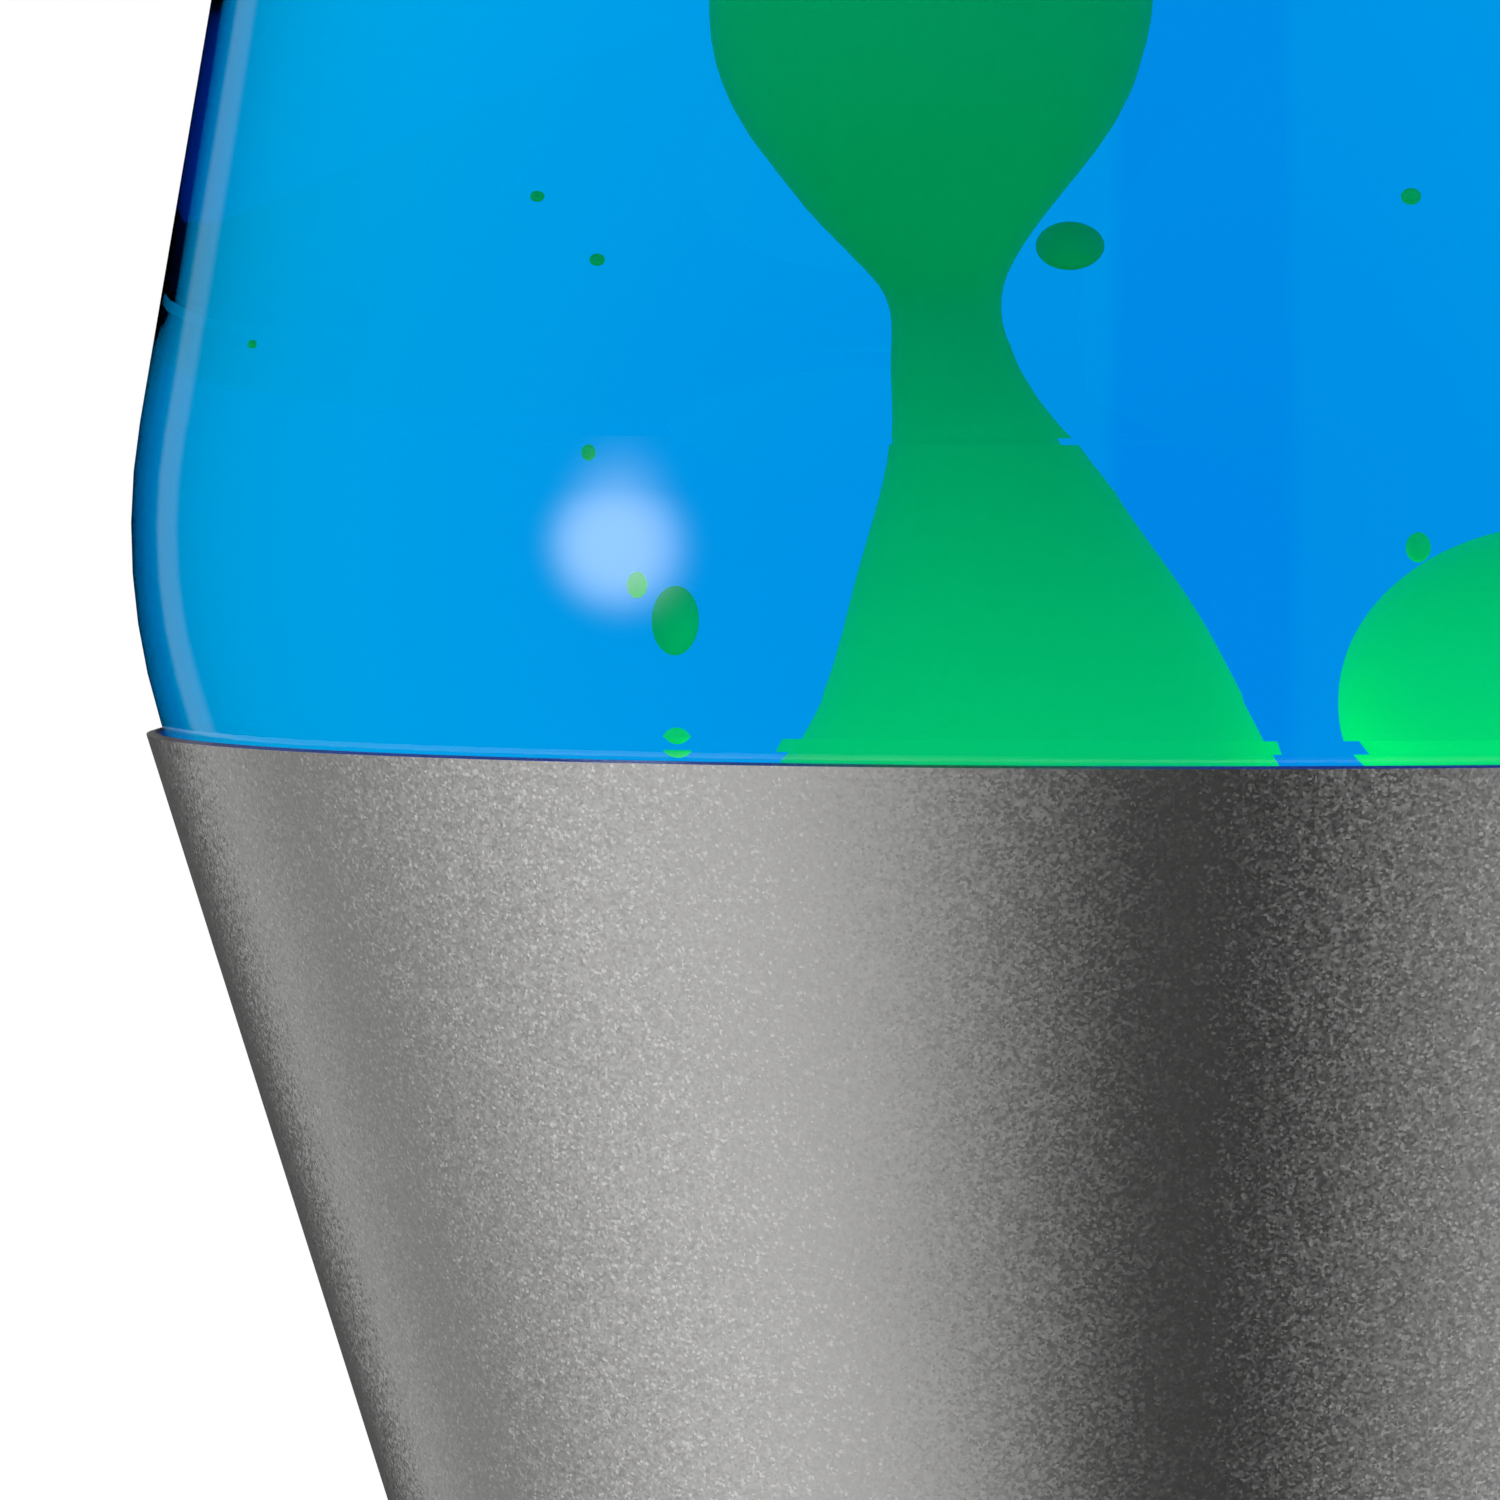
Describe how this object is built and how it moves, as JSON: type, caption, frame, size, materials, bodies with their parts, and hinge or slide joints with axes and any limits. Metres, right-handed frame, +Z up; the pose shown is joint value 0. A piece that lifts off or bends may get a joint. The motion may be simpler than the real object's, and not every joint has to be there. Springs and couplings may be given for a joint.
{
  "type": "lava lamp",
  "caption": "Desk lava lamp: a tapered glass globe of liquid and wax stands in an hourglass metal base with a bulb inside, under a spun cap.",
  "frame": {"origin": "on the surface it stands on, under the lamp's axis", "axes": "+Z up along the lamp's axis; +Y towards the back, where the cord inlet is"},
  "size_m": [0.0994, 0.1001, 0.368],
  "materials": {
    "silver_paint": "satin",
    "zinc_plate": "satin",
    "steel": "satin",
    "black_rubber": "matte",
    "phenolic": "satin",
    "brass": "satin",
    "bulb_glass": "gloss",
    "bulb_metal": "satin",
    "globe_glass": "gloss",
    "blue_liquid": "gloss",
    "yellow_wax": "satin",
    "crown_tinplate": "gloss",
    "liner": "matte"
  },
  "bodies": {
    "base": {"base_cup": "silver_paint", "base_foot": "silver_paint", "waist_rivets": "steel", "base_plate": "zinc_plate", "base_plate_screws": "steel", "rubber_feet": "black_rubber", "cord_grommet": "black_rubber", "lampholder_bracket": "zinc_plate", "bracket_rivets": "steel", "threaded_nipple": "zinc_plate", "lock_washer": "steel", "nipple_locknut": "zinc_plate", "lampholder_body": "phenolic", "lampholder_screw_shell": "brass", "lampholder_contact": "brass", "terminal_screws": "brass"},
    "bulb": {"bulb_glass": "bulb_glass", "bulb_cap": "bulb_metal", "bulb_insulator": "phenolic", "bulb_contact": "bulb_metal", "bulb_stem": "bulb_glass", "bulb_lead_wires": "steel", "bulb_filament": "steel"},
    "globe": {"globe_glass": "globe_glass", "crown_cap": "crown_tinplate", "crown_liner": "liner", "liquid": "blue_liquid", "wax_column": "yellow_wax", "wax_droplets": "yellow_wax", "wire_coil": "steel"},
    "free_wax": {"wax_blob": "yellow_wax"},
    "cap": {"top_cap": "silver_paint"}
  },
  "joints": [
    {"name": "globe_lift", "type": "slide", "parent": "base", "child": "globe", "axis": [0, 0, 1], "range_m": [0, 0.08]},
    {"name": "cap_lift", "type": "slide", "parent": "globe", "child": "cap", "axis": [0, 0, 1], "range_m": [0, 0.06]},
    {"name": "bulb_turn", "type": "hinge", "parent": "base", "child": "bulb", "pos_m": [0, 0, 0.04], "axis": [0, 0, 1], "range_deg": [0, 1080]},
    {"name": "wax_drift", "type": "slide", "parent": "globe", "child": "free_wax", "axis": [0, 0, 1], "range_m": [-0.018, 0.13], "deforming": ["liquid"]}
  ]
}
